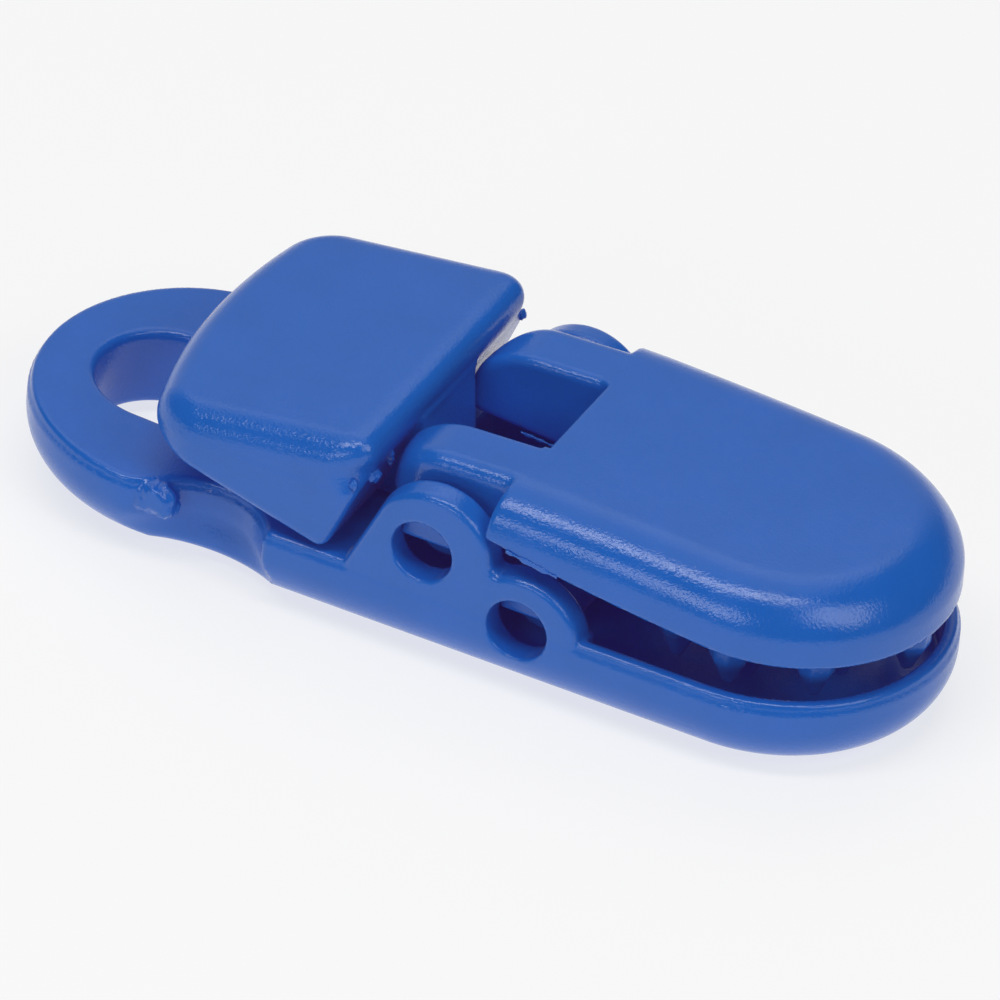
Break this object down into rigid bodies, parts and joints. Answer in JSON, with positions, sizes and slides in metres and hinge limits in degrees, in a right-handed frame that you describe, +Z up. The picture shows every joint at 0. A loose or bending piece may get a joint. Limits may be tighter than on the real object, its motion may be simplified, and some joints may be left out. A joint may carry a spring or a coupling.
{
  "type": "cam-lever fabric clip",
  "caption": "Small moulded plastic clip with a flip lever that closes a toothed jaw onto a flat base, and a ring end for a cord or ribbon.",
  "frame": {"origin": "on the underside of the base, half way along it and half way across, with the clip closed and lying flat", "axes": "+X from the ring end to the front of the jaws, +Y across the clip, along both hinge axes, +Z up out of the jaw"},
  "size_m": [0.045, 0.016, 0.0107],
  "materials": {
    "base_plastic": "satin moulded, one blue all over",
    "jaw_plastic": "satin moulded, one blue all over",
    "lever_plastic": "satin moulded, one blue all over"
  },
  "bodies": {
    "base": {"base": "base_plastic"},
    "jaw": {"jaw": "jaw_plastic"},
    "cam_lever": {"cam_lever": "lever_plastic"}
  },
  "joints": [
    {"name": "lever_pivot", "type": "hinge", "parent": "base", "child": "cam_lever", "pos_m": [0.00525, 0, 0.0035], "axis": [0, 1, 0], "range_deg": [0, 48]},
    {"name": "jaw_pivot", "type": "hinge", "parent": "base", "child": "jaw", "pos_m": [0.0003, 0, 0.00585], "axis": [0, -1, 0], "range_deg": [0, 16.5]}
  ],
  "couplings": [
    {"joint": "jaw_pivot", "follows": "lever_pivot", "ratio": 0.34375}
  ]
}
